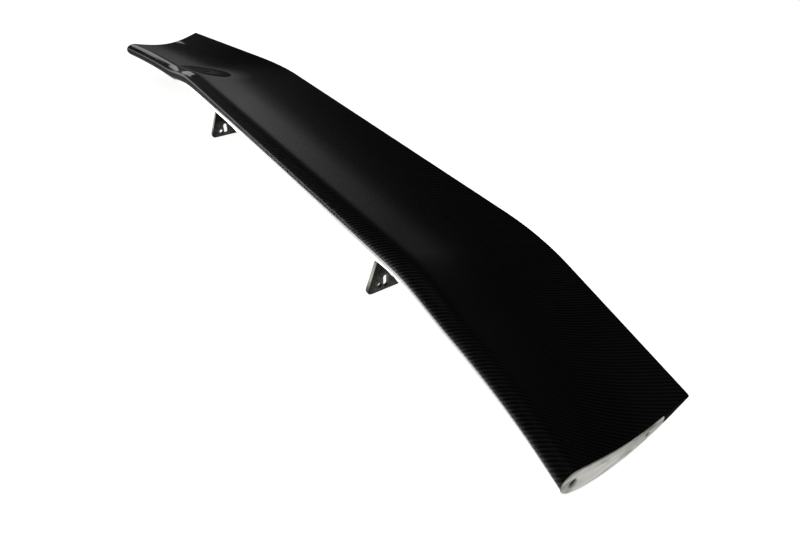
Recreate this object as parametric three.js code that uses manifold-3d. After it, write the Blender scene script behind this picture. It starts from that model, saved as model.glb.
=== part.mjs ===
// Racing rear wing: a carbon aerofoil with a level centre section and swept,
// tapered, twisted outer panels, carried by two slotted mounting brackets.
// Millimetres. X is the span (+X is the left tip), -Y is forward, +Z is up.
// The origin is under the middle of the wing, level with the brackets' lower edges.

import * as THREE from "three";
import { mergeVertices } from "three/addons/utils/BufferGeometryUtils.js";
import Module from "manifold-3d";

const wasm = await Module();
wasm.setup();

// ---------------------------------------------------------------- dimensions

// Planform and twist. Nose and tail places are measured from the datum, the
// centre section's nose plane, and are turned into the part's frame at the end.
const SPAN = 1552; // over both end ribs
const CENTRE_NOSE = { y: -1.5, z: 8.5 };
const CENTRE_TAIL = { y: 241.5, z: -5 };
const TIP_NOSE = { y: -46.5, z: -4.5 };
const TIP_TAIL = { y: 139, z: 11 };
const NOSE_SWEEP_START = 385; // distance from the middle where the nose starts forward
const NOSE_SWEEP_BLEND = 360; // length over which it turns to its straight sweep
const TAIL_SWEEP_START = 370;
const TAIL_SWEEP_BLEND = 160;
const TWIST_START = 415; // the nose drops between these two stations
const TWIST_LENGTH = 145;

// Aerofoil, as shares of the chord. The camber hangs down: the wing pushes downwards.
const CAMBER = 0.489;
const CAMBER_FRONT_POWER = 1.2;
const CAMBER_REAR_POWER = 1.1;
const BODY_FULLNESS = 0.147;
const BROW_FULLNESS = 0.232; // extra above the nose
const CHIN_FULLNESS = 0.167; // extra below it
const NOSE_TAPER_POWER = 3;
const RIDGE_RISE = 0.009; // the ridge behind the nose, on the upper side only
const RIDGE_PLACE = 0.1;
const RIDGE_SHARPNESS = 6;
const CENTRE_THICKENING = 1.09; // the centre section is this much fuller than the tips
const TAIL_EDGE = 2; // thickness of the trailing edge

// Laminates, webs and ribs
const SKIN = 1.6;
const BOND = 0.6; // glue line between bonded pieces
const JOINT = 0.3; // gap where two skin edges or faces meet
const LAP_STRIP = 1.4;
const LAP_HALF_HEIGHT = 9; // how far the strip reaches each side of the nose seam
const SPAR_WEB = 3;
const FRONT_SPAR_CHORD = 0.42; // share of the chord where each web stands
const REAR_SPAR_CHORD = 0.7;
const RIB = 6;
const RIB_HOLE = 14;
const KINK_RIB_X = 470;
const FILLER_FRONT_CHORD = 0.84;
const FILLER_REAR_CHORD = 0.915;

// End ribs
const END_FLANGE = 1.5;
const END_PLUG = 15;
const END_TAIL_CHORD = 0.8; // the rib stops here and leaves the solid trailing edge
const END_FRONT_BOLT = { back: 16.5, size: 6.6, sink: 13 };
const END_REAR_BOLT = { back: 125.5, size: 6 };

// Mounting brackets
const BRACKET_SPACING = 669;
const PLATE = 7;
const PLATE_CORNER = 13;
const PLATE_FRONT_TOP = 27; // distances behind the datum, along the plate's outline
const PLATE_FRONT_FOOT = 2;
const PLATE_REAR_FOOT = 76;
const PLATE_TOP_INSET = 7; // from the rear of the foot to the plate's rear edge
const PLATE_BOTTOM = -91.3; // height of the lower edge from the datum
const PIVOT_HOLE = { y: 27.3, rise: 11.2, size: 8.2 };
const SLOT = { y: 38.2, rise: 16.1, width: 8.4, length: 21.5 };
const FOOT = 5;
const FOOT_WIDTH = 34;
const FOOT_FRONT = 20; // behind the datum
const FOOT_EDGE = 15; // from the rear screws to the foot's rear edge

// Bracket screws, and the blocks inside the wing that they thread into
const SCREW = 5;
const SCREW_CLEARANCE = 0.3; // on the radius
const SCREW_HEAD = { size: 9.5, height: 2.8, socket: 3, socketDepth: 1.6 };
const SCREW_POCKET = 2; // depth of the head's seat in the foot
const SCREW_REACH = 14; // threaded length above the seat
const SCREW_ROW_OFFSET = 10.5;
const SCREW_FRONT_EDGE = 24; // from the foot's front edge to the front screws
const SCREW_TO_WEB = 17; // from the rear screws to the front spar's web
const BLOCK_FRONT = 17;
const BLOCK_WIDTH = 36;

// Facets
const SIDE_STEPS = 18; // from nose to tail on each side of the section
const END_STEPS = 32; // right round an end rib
const LAP_STEPS = 6;
const BLOCK_STEPS = 9;
const RIB_STEPS = 4;
const FILLER_STEPS = 2;
const FOOT_STEPS = 8;
const PANEL_FACET = 32; // longest facet along each swept panel
const ROUND_STEPS = 24;
const SCREW_STEPS = 16;

// ------------------------------------------------------------- derived values

const HALF_SPAN = SPAN / 2;
const SKIN_END = HALF_SPAN - END_FLANGE - JOINT;
const INNER_END = HALF_SPAN - END_FLANGE - END_PLUG - JOINT;
const LINING = SKIN + BOND; // depth of a piece bonded inside a skin
const BEND_START = Math.min(NOSE_SWEEP_START, TAIL_SWEEP_START, TWIST_START);
const BRACKET_X = BRACKET_SPACING / 2;
const CENTRE_CHORD = Math.hypot(CENTRE_TAIL.y - CENTRE_NOSE.y, CENTRE_TAIL.z - CENTRE_NOSE.z);
const WEB_FACE = CENTRE_NOSE.y + FRONT_SPAR_CHORD * CENTRE_CHORD - SPAR_WEB / 2;
const SCREW_ROWS = [FOOT_FRONT + SCREW_FRONT_EDGE, WEB_FACE - SCREW_TO_WEB];
const FOOT_REAR = SCREW_ROWS[1] + FOOT_EDGE;
const PLATE_REAR_TOP = FOOT_REAR - PLATE_TOP_INSET;
const MIDDLE_Y = (TIP_NOSE.y + CENTRE_TAIL.y) / 2;

// ------------------------------------------------------------------ materials

const finish = (color, roughness, metalness) => ({ color, roughness, metalness });
const CARBON = finish(0x0b0b0c, 0.18, 0.0);
const BARE_CARBON = finish(0x1b1c1e, 0.55, 0.0);
const ADHESIVE = finish(0x3a3b38, 0.7, 0.0);
const ALUMINIUM = finish(0xc6c6bd, 0.45, 0.9);
const BLACK_METAL = finish(0x0d0d0e, 0.5, 0.3);
const SCREW_STEEL = finish(0x18181a, 0.4, 0.7);

const wing = new THREE.Group();
wing.name = "racing_rear_wing";
const mounted = new THREE.Group(); // everything is drawn from the datum inside this group
mounted.position.set(0, -MIDDLE_Y, -PLATE_BOTTOM);
wing.add(mounted);

function addPiece(name, geometry, look) {
  geometry.computeVertexNormals();
  const mesh = new THREE.Mesh(geometry, new THREE.MeshStandardMaterial(look));
  mesh.name = name;
  mounted.add(mesh);
}

// ---------------------------------------------------------------- wing shape

const mix = (a, b, t) => a + (b - a) * t;

function ease(t) {
  const held = Math.min(Math.max(t, 0), 1);
  return held * held * (3 - 2 * held);
}

// Zero up to `start`, a smooth bend over `blend`, then straight, reaching 1 at the tip.
function sweep(x, start, blend) {
  const bend = (d) => (d <= 0 ? 0 : d < blend ? (d * d) / (2 * blend) : d - blend / 2);
  return bend(Math.abs(x) - start) / bend(HALF_SPAN - start);
}

// The chord line at a station, and how full the section is there.
function stationAt(x) {
  const twist = ease((Math.abs(x) - TWIST_START) / TWIST_LENGTH);
  const noseSweep = sweep(x, NOSE_SWEEP_START, NOSE_SWEEP_BLEND);
  const tailSweep = sweep(x, TAIL_SWEEP_START, TAIL_SWEEP_BLEND);
  const nose = {
    y: mix(CENTRE_NOSE.y, TIP_NOSE.y, noseSweep),
    z: mix(CENTRE_NOSE.z, TIP_NOSE.z, twist),
  };
  const tail = {
    y: mix(CENTRE_TAIL.y, TIP_TAIL.y, tailSweep),
    z: mix(CENTRE_TAIL.z, TIP_TAIL.z, tailSweep),
  };
  const chord = Math.hypot(tail.y - nose.y, tail.z - nose.z);
  return {
    nose,
    chord,
    along: { y: (tail.y - nose.y) / chord, z: (tail.z - nose.z) / chord },
    fullness: mix(CENTRE_THICKENING, 1, twist),
  };
}

// The section is drawn by t, from -1 at the lower tail, through 0 at the nose, to 1
// at the upper tail; t squared is the share of the chord.
function camberLine(t) {
  const u = t * t;
  return -CAMBER * u ** CAMBER_FRONT_POWER * Math.max(1 - u, 0) ** CAMBER_REAR_POWER;
}

// Highest at RIDGE_PLACE and nothing at the nose.
function ridge(t) {
  if (t <= 0) return 0;
  const share = (t * t) / RIDGE_PLACE;
  return RIDGE_RISE * (share * Math.exp(1 - share)) ** RIDGE_SHARPNESS;
}

function halfThickness(station, t) {
  const rest = 1 - t * t;
  const extra = t > 0 ? BROW_FULLNESS : CHIN_FULLNESS;
  const fullness = BODY_FULLNESS + extra * rest ** NOSE_TAPER_POWER;
  return t * rest * fullness * station.fullness * station.chord + (t ** 3 * TAIL_EDGE) / 2;
}

function outline(station, t) {
  return {
    u: t * t * station.chord,
    v: (camberLine(t) + ridge(t)) * station.chord + halfThickness(station, t),
  };
}

// A point of the section, `depth` inside its surface (outside where depth is negative).
// Near the tail the depth stops half a joint short of the camber line.
function sectionPoint(station, t, depth) {
  const step = 1e-4;
  const here = outline(station, t);
  const before = outline(station, Math.max(t - step, -1));
  const after = outline(station, Math.min(t + step, 1));
  const length = Math.hypot(after.u - before.u, after.v - before.v);
  const inward = { u: (after.v - before.v) / length, v: -(after.u - before.u) / length };
  const room = Math.abs(t) > 0.6 ? Math.abs(halfThickness(station, t)) - JOINT / 2 : Infinity;
  const held = Math.min(depth, room);
  const u = here.u + inward.u * held;
  const v = here.v + inward.v * held;
  return {
    y: station.nose.y + u * station.along.y - v * station.along.z,
    z: station.nose.z + u * station.along.z + v * station.along.y,
  };
}

const tAtDistance = (station, distance) => Math.sqrt(Math.max(distance, 0) / station.chord);
const tAtShare = (share) => Math.sqrt(share);

// Evenly spaced t values from one end to the other.
function tRange(from, to, steps) {
  return Array.from({ length: steps + 1 }, (_, i) => mix(from, to, i / steps));
}

// Half the nose seam, as a t value.
function seamT(station) {
  const steepness = BODY_FULLNESS + (BROW_FULLNESS + CHIN_FULLNESS) / 2;
  return JOINT / 2 / (station.chord * station.fullness * steepness);
}

// A ring between two depths of the section, from one t to another.
function shellRing(x, from, to, shallow, deep, steps) {
  const station = stationAt(x);
  const values = tRange(from(station), to(station), steps);
  const outer = values.map((t) => sectionPoint(station, t, shallow));
  const inner = values.map((t) => sectionPoint(station, t, deep));
  return [...outer, ...inner.reverse()];
}

// A solid ring across the section at one depth, between two distances from the nose.
function coreRing(x, front, rear, depth, steps) {
  const station = stationAt(x);
  const values = tRange(front(station), rear(station), steps);
  const upper = values.map((t) => sectionPoint(station, t, depth));
  const lower = values.map((t) => sectionPoint(station, -t, depth));
  return [...lower, ...upper.reverse()];
}

// ------------------------------------------------------------- solid building

function spanStations(end) {
  const stations = [];
  const steps = Math.ceil((end - BEND_START) / PANEL_FACET);
  for (let i = 0; i <= steps; i++) stations.push(mix(BEND_START, end, i / steps));
  return [...stations.map((x) => -x).reverse(), ...stations];
}

// A closed solid through one ring for each x. Every ring has the same number of points.
function loft(stations, ringAt) {
  const rings = stations.map((x) => ringAt(x));
  const area = THREE.ShapeUtils.area(rings[0].map((p) => new THREE.Vector2(p.y, p.z)));
  const ordered = rings.map((ring) => (area < 0 ? [...ring].reverse() : ring));
  const count = ordered[0].length;
  const positions = [];
  ordered.forEach((ring, j) => {
    for (const p of ring) positions.push(stations[j], p.y, p.z);
  });
  const index = [];
  for (let j = 0; j + 1 < ordered.length; j++) {
    for (let i = 0; i < count; i++) {
      const a = j * count + i;
      const b = j * count + ((i + 1) % count);
      index.push(a, b, b + count, a, b + count, a + count);
    }
  }
  const last = (ordered.length - 1) * count;
  const capAt = (ring) => THREE.ShapeUtils.triangulateShape(
    ring.map((p) => new THREE.Vector2(p.y, p.z)), []);
  for (const [a, b, c] of capAt(ordered[0])) index.push(a, c, b);
  for (const [a, b, c] of capAt(ordered[ordered.length - 1])) index.push(last + a, last + b, last + c);
  const geometry = new THREE.BufferGeometry();
  geometry.setAttribute("position", new THREE.Float32BufferAttribute(positions, 3));
  geometry.setIndex(index);
  return geometry;
}

function toSolid(geometry) {
  const bare = geometry.clone();
  bare.deleteAttribute("normal");
  bare.deleteAttribute("uv");
  const merged = mergeVertices(bare, 1e-4);
  return new wasm.Manifold(new wasm.Mesh({
    numProp: 3,
    vertProperties: new Float32Array(merged.attributes.position.array),
    triVerts: new Uint32Array(merged.index.array),
  }));
}

function toGeometry(solid) {
  const mesh = solid.getMesh();
  const geometry = new THREE.BufferGeometry();
  geometry.setAttribute("position", new THREE.BufferAttribute(mesh.vertProperties, 3));
  geometry.setIndex(new THREE.BufferAttribute(mesh.triVerts, 1));
  return geometry;
}

// Cuts every tool out of a geometry.
function cut(geometry, tools) {
  let solid = toSolid(geometry);
  for (const tool of tools) solid = solid.subtract(toSolid(tool));
  return toGeometry(solid);
}

function join(first, second) {
  return toGeometry(toSolid(first).add(toSolid(second)));
}

// An upright cylinder from z = bottom to z = top.
function uprightPin(x, y, bottom, top, size) {
  const pin = new THREE.CylinderGeometry(size / 2, size / 2, top - bottom, ROUND_STEPS);
  pin.rotateX(Math.PI / 2);
  pin.translate(x, y, (bottom + top) / 2);
  return pin;
}

// A cylinder or cone along X.
function crossPin(x0, x1, y, z, size0, size1 = size0) {
  const pin = new THREE.CylinderGeometry(size1 / 2, size0 / 2, x1 - x0, ROUND_STEPS);
  pin.rotateZ(-Math.PI / 2);
  pin.translate((x0 + x1) / 2, y, z);
  return pin;
}

// ------------------------------------------------------------- bracket screws

// The four screws of one bracket: places, and the height of each head's seat.
function screwPlaces(side) {
  const places = [];
  for (const y of SCREW_ROWS) {
    for (const offset of [-SCREW_ROW_OFFSET, SCREW_ROW_OFFSET]) {
      const x = side * BRACKET_X + offset;
      places.push({ x, y, seat: underside(x, y, JOINT + FOOT) + SCREW_POCKET });
    }
  }
  return places;
}

// Height of the wing's underside at a place, `offset` outside the surface.
function underside(x, y, offset) {
  const station = stationAt(x);
  const t = -tAtDistance(station, (y - station.nose.y) / station.along.y);
  return sectionPoint(station, t, -offset).z;
}

// Clearance holes for the screws, from below the foot to past the threaded ends.
function screwHoles(side) {
  return screwPlaces(side).map(({ x, y, seat }) => uprightPin(
    x, y, seat - FOOT, seat + SCREW_REACH + 1, SCREW + 2 * SCREW_CLEARANCE));
}

// Button-head screw, head down, with a hexagon socket.
function screwGeometry({ x, y, seat }) {
  const headTop = seat - JOINT;
  const headLow = headTop - SCREW_HEAD.height;
  const headRadius = SCREW_HEAD.size / 2;
  const profile = [
    [0, headLow],
    [headRadius * 0.55, headLow],
    [headRadius * 0.85, headLow + SCREW_HEAD.height * 0.3],
    [headRadius, headLow + SCREW_HEAD.height * 0.7],
    [headRadius, headTop],
    [SCREW / 2, headTop],
    [SCREW / 2, headTop + SCREW_REACH - 1],
    [SCREW / 2 - 0.8, headTop + SCREW_REACH],
    [0, headTop + SCREW_REACH],
  ];
  const body = new THREE.LatheGeometry(
    profile.map(([radius, height]) => new THREE.Vector2(radius, height)), SCREW_STEPS);
  body.rotateX(Math.PI / 2);
  const socket = new THREE.CylinderGeometry(
    SCREW_HEAD.socket / Math.sqrt(3), SCREW_HEAD.socket / Math.sqrt(3), SCREW_HEAD.socketDepth * 2, 6);
  socket.rotateX(Math.PI / 2);
  socket.translate(0, 0, headLow);
  const screw = cut(body, [socket]);
  screw.translate(x, y, 0);
  return screw;
}

// --------------------------------------------------------------------- pieces

const SIDES = [["left", 1], ["right", -1]];
const tail = () => 1;
const lowerTail = () => -1;
const seam = (station) => seamT(station);
const lowerSeam = (station) => -seamT(station);

function addSkins() {
  const stations = spanStations(SKIN_END);
  addPiece("upper_skin", loft(stations, (x) => shellRing(x, seam, tail, 0, SKIN, SIDE_STEPS)), CARBON);
  const lower = loft(stations, (x) => shellRing(x, lowerTail, lowerSeam, 0, SKIN, SIDE_STEPS));
  addPiece("lower_skin", cut(lower, SIDES.flatMap(([, side]) => screwHoles(side))), CARBON);
}

// Strip that laps the two skins behind the nose seam.
function addLapStrip() {
  const reach = (station) => tAtDistance(station, LAP_HALF_HEIGHT ** 2 / (station.chord * 0.1));
  const ring = (x) => shellRing(x, (s) => -reach(s), reach, LINING, LINING + LAP_STRIP, LAP_STEPS);
  addPiece("leading_edge_lap_strip", loft(spanStations(INNER_END), ring), BARE_CARBON);
}

function addTailFiller() {
  const front = () => tAtShare(FILLER_FRONT_CHORD);
  const rear = () => tAtShare(FILLER_REAR_CHORD);
  const ring = (x) => coreRing(x, front, rear, LINING, FILLER_STEPS);
  addPiece("trailing_edge_filler", loft(spanStations(SKIN_END), ring), ADHESIVE);
}

// Upright web from skin to skin, centred on a share of the chord.
const webEdge = (share, offset) => (station) => tAtDistance(station, share * station.chord + offset);

function addSpar(name, share) {
  const front = webEdge(share, -SPAR_WEB / 2);
  const rear = webEdge(share, SPAR_WEB / 2);
  const ring = (x) => coreRing(x, front, rear, LINING, 1);
  addPiece(name, loft(spanStations(INNER_END), ring), BARE_CARBON);
}

// Rib between the two spars.
function addBoxRib(name, centre) {
  const stations = [centre - RIB / 2, centre, centre + RIB / 2];
  const clear = SPAR_WEB / 2 + BOND;
  const rib = loft(stations, (x) => coreRing(
    x, webEdge(FRONT_SPAR_CHORD, clear), webEdge(REAR_SPAR_CHORD, -clear), LINING, RIB_STEPS));
  const station = stationAt(centre);
  const middle = tAtShare((FRONT_SPAR_CHORD + REAR_SPAR_CHORD) / 2);
  const upper = sectionPoint(station, middle, 0);
  const lower = sectionPoint(station, -middle, 0);
  const hole = crossPin(
    centre - RIB, centre + RIB, (upper.y + lower.y) / 2, (upper.z + lower.z) / 2, RIB_HOLE);
  addPiece(name, cut(rib, [hole]), BARE_CARBON);
}

// Solid block in the nose box, threaded for one bracket's screws.
function addBracketBlock(name, side) {
  const centre = side * BRACKET_X;
  const stations = [-1, -0.5, 0, 0.5, 1].map((k) => centre + (k * BLOCK_WIDTH) / 2);
  const clear = SPAR_WEB / 2 + BOND;
  const front = (station) => tAtDistance(station, BLOCK_FRONT - CENTRE_NOSE.y);
  const rear = webEdge(FRONT_SPAR_CHORD, -clear);
  const block = loft(stations, (x) => coreRing(x, front, rear, LINING, BLOCK_STEPS));
  addPiece(name, cut(block, screwHoles(side)), ALUMINIUM);
}

function addEndRib(name, side) {
  const tailEdge = () => tAtShare(END_TAIL_CHORD);
  const plugTail = (station) => tAtDistance(station, END_TAIL_CHORD * station.chord - JOINT);
  const outer = side * HALF_SPAN;
  const flangeIn = side * (HALF_SPAN - END_FLANGE);
  const plugIn = side * (HALF_SPAN - END_FLANGE - END_PLUG);
  const order = (values) => values.sort((a, b) => a - b);
  const flange = loft(order([flangeIn, outer]), () => endRing(outer, tailEdge, 0));
  const overlap = side * (HALF_SPAN - END_FLANGE / 2);
  const plug = loft(order([plugIn, flangeIn, overlap]), (x) => endRing(x, plugTail, LINING));
  const tip = stationAt(outer);
  const boltAt = (back) => {
    const t = tAtDistance(tip, back);
    const upper = sectionPoint(tip, t, 0);
    const lower = sectionPoint(tip, -t, 0);
    return { y: (upper.y + lower.y) / 2, z: (upper.z + lower.z) / 2 };
  };
  const through = (bolt, place) => crossPin(
    Math.min(outer, plugIn) - 1, Math.max(outer, plugIn) + 1, place.y, place.z, bolt.size);
  const front = boltAt(END_FRONT_BOLT.back);
  const rear = boltAt(END_REAR_BOLT.back);
  const sinkDepth = (END_FRONT_BOLT.sink - END_FRONT_BOLT.size) / 2;
  const wide = END_FRONT_BOLT.sink + 2;
  const narrow = END_FRONT_BOLT.size;
  const sink = side > 0
    ? crossPin(outer - sinkDepth, outer + 1, front.y, front.z, narrow, wide)
    : crossPin(outer - 1, outer + sinkDepth, front.y, front.z, wide, narrow);
  const rib = join(flange, plug);
  addPiece(name, cut(rib, [through(END_FRONT_BOLT, front), sink, through(END_REAR_BOLT, rear)]), ALUMINIUM);
}

// Closed ring right round the nose, shut by a straight edge at the tail side.
function endRing(x, tailEdge, depth) {
  const station = stationAt(x);
  const end = tailEdge(station);
  return tRange(-end, end, END_STEPS).map((t) => sectionPoint(station, t, depth));
}

// Plate outline in the YZ plane, with its top buried in the foot.
function plateShape() {
  const shape = new THREE.Shape();
  const footMiddle = (y) => underside(BRACKET_X, y, JOINT + FOOT / 2);
  const frontTop = new THREE.Vector2(PLATE_FRONT_TOP, footMiddle(PLATE_FRONT_TOP));
  const rearTop = new THREE.Vector2(PLATE_REAR_TOP, footMiddle(PLATE_REAR_TOP));
  const frontFoot = new THREE.Vector2(PLATE_FRONT_FOOT, PLATE_BOTTOM);
  const rearFoot = new THREE.Vector2(PLATE_REAR_FOOT, PLATE_BOTTOM);
  const towards = (from, to) => from.clone().add(
    to.clone().sub(from).normalize().multiplyScalar(PLATE_CORNER));
  const start = towards(frontFoot, frontTop);
  shape.moveTo(frontTop.x, frontTop.y);
  shape.lineTo(start.x, start.y);
  const frontEnd = towards(frontFoot, rearFoot);
  shape.quadraticCurveTo(frontFoot.x, frontFoot.y, frontEnd.x, frontEnd.y);
  const rearStart = towards(rearFoot, frontFoot);
  const rearEnd = towards(rearFoot, rearTop);
  shape.lineTo(rearStart.x, rearStart.y);
  shape.quadraticCurveTo(rearFoot.x, rearFoot.y, rearEnd.x, rearEnd.y);
  shape.lineTo(rearTop.x, rearTop.y);
  for (const share of [0.75, 0.5, 0.25]) {
    const y = mix(PLATE_FRONT_TOP, PLATE_REAR_TOP, share);
    shape.lineTo(y, footMiddle(y));
  }
  shape.holes.push(pivotPath(), slotPath());
  return shape;
}

function pivotPath() {
  const path = new THREE.Path();
  path.absarc(PIVOT_HOLE.y, PLATE_BOTTOM + PIVOT_HOLE.rise, PIVOT_HOLE.size / 2, 0, 2 * Math.PI);
  return path;
}

function slotPath() {
  const path = new THREE.Path();
  const radius = SLOT.width / 2;
  const reach = SLOT.length / 2 - radius;
  const centre = PLATE_BOTTOM + SLOT.rise;
  path.absarc(SLOT.y, centre + reach, radius, 0, Math.PI);
  path.absarc(SLOT.y, centre - reach, radius, Math.PI, 2 * Math.PI);
  return path;
}

function addBracket(name, side) {
  const centre = side * BRACKET_X;
  const plate = new THREE.ExtrudeGeometry(plateShape(), {
    depth: PLATE, bevelEnabled: false, curveSegments: ROUND_STEPS / 3,
  });
  // Shape x and y become part Y and Z, and the extrusion runs along X.
  plate.applyMatrix4(new THREE.Matrix4().makeBasis(
    new THREE.Vector3(0, 1, 0), new THREE.Vector3(0, 0, 1), new THREE.Vector3(1, 0, 0)));
  plate.translate(centre - PLATE / 2, 0, 0);
  const stations = [-1, -0.5, 0, 0.5, 1].map((k) => centre + (k * FOOT_WIDTH) / 2);
  const at = (y) => (station) => -tAtDistance(station, y - CENTRE_NOSE.y);
  const foot = loft(stations, (x) => shellRing(
    x, at(FOOT_REAR), at(FOOT_FRONT), -JOINT - FOOT, -JOINT, FOOT_STEPS));
  const pockets = screwPlaces(side).map(({ x, y, seat }) => uprightPin(
    x, y, seat - 2 * FOOT, seat, SCREW_HEAD.size + 2 * SCREW_CLEARANCE));
  addPiece(name, cut(join(plate, foot), [...screwHoles(side), ...pockets]), BLACK_METAL);
}

// ------------------------------------------------------------------- assembly

addSkins();
addLapStrip();
addTailFiller();
addSpar("front_spar", FRONT_SPAR_CHORD);
addSpar("rear_spar", REAR_SPAR_CHORD);
addBoxRib("centre_rib", 0);
for (const [word, side] of SIDES) {
  addBoxRib(`kink_rib_${word}`, side * KINK_RIB_X);
  addBracketBlock(`bracket_block_${word}`, side);
  addEndRib(`end_rib_${word}`, side);
  addBracket(`mount_bracket_${word}`, side);
  screwPlaces(side).forEach((place, i) => {
    addPiece(`bracket_screw_${word}_${i + 1}`, screwGeometry(place), SCREW_STEEL);
  });
}

export default wing;
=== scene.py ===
"""Racing rear wing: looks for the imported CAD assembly. Blender 4.5, metres.

+X is the left tip, -Y is forward and +Z is up. The skins, end ribs, brackets and screws
are rebuilt smooth, with rounded edges, where the CAD has facets. Inside pieces keep
their CAD shape and get detailed materials.
"""

import math

import bmesh
import bpy
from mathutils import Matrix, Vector


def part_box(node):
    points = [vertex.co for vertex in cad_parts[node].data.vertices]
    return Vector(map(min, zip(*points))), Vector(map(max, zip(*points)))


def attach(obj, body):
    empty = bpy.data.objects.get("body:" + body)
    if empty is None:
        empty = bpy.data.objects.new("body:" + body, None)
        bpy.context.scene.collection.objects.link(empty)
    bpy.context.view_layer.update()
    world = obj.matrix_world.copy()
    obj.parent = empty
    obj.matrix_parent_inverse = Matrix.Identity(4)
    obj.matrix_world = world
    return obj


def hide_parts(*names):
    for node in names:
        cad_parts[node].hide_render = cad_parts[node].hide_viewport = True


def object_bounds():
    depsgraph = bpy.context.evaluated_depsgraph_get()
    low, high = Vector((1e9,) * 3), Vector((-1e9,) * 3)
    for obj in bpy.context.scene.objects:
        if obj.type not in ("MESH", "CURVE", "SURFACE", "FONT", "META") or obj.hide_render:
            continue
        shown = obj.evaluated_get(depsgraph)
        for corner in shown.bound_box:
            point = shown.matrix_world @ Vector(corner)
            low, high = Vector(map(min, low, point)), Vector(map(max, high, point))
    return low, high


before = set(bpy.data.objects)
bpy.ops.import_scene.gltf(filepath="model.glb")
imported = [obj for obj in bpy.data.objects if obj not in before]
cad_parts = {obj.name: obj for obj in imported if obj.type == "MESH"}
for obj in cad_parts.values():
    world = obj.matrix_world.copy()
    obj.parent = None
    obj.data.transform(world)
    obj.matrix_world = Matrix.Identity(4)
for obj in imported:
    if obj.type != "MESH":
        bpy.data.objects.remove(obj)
CAD_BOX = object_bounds()

MM = 0.001
SIDES = (("left", 1), ("right", -1))


def low_high(node):
    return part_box(node)


# ------------------------------------------------------------ sizes from the frame

HALF_SPAN = low_high("end_rib_left")[1].x
SKIN_END = low_high("upper_skin")[1].x
FLANGE_IN = HALF_SPAN - 1.5 * MM
PLUG_IN = low_high("end_rib_left")[0].x
BRACKET_X = sum(p.x for p in low_high("mount_bracket_left")) / 2
PLATE_BOTTOM = low_high("mount_bracket_left")[0].z
FOOT_WIDTH = low_high("mount_bracket_left")[1].x - low_high("mount_bracket_left")[0].x

PLATE_DROP = 91.3 * MM  # from the datum down to the brackets' lower edges

# ------------------------------------------------------------ wing shape, as in the CAD

CENTRE_NOSE = (-1.5 * MM, 8.5 * MM)
CENTRE_TAIL = (241.5 * MM, -5 * MM)
TIP_NOSE = (-46.5 * MM, -4.5 * MM)
TIP_TAIL = (139 * MM, 11 * MM)
NOSE_SWEEP = (385 * MM, 360 * MM)  # start, and the length of the bend
TAIL_SWEEP = (370 * MM, 160 * MM)
TWIST = (415 * MM, 145 * MM)
CAMBER = 0.489
CAMBER_POWERS = (1.2, 1.1)
BODY_FULLNESS = 0.147
BROW_FULLNESS = 0.232
CHIN_FULLNESS = 0.167
NOSE_TAPER_POWER = 3
RIDGE_RISE = 0.009  # the ridge behind the nose, on the upper side only
RIDGE_PLACE = 0.1
RIDGE_SHARPNESS = 6
CENTRE_THICKENING = 1.09
TAIL_EDGE = 2 * MM

# The datum is near the centre section's nose. The CAD is drawn from it.
DATUM_Y = -(TIP_NOSE[0] + CENTRE_TAIL[0]) / 2
DATUM_Z = PLATE_BOTTOM + PLATE_DROP

SKIN = 1.6 * MM
BOND = 0.6 * MM
JOINT = 0.3 * MM
LINING = SKIN + BOND
END_TAIL_SHARE = 0.8


def mix(a, b, t):
    return a + (b - a) * t


def ease(t):
    t = min(max(t, 0), 1)
    return t * t * (3 - 2 * t)


def sweep(x, start, blend):
    """Zero up to start, a smooth bend, then straight, reaching 1 at the tip."""

    def bend(d):
        return 0 if d <= 0 else d * d / (2 * blend) if d < blend else d - blend / 2

    return bend(abs(x) - start) / bend(HALF_SPAN - start)


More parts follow.
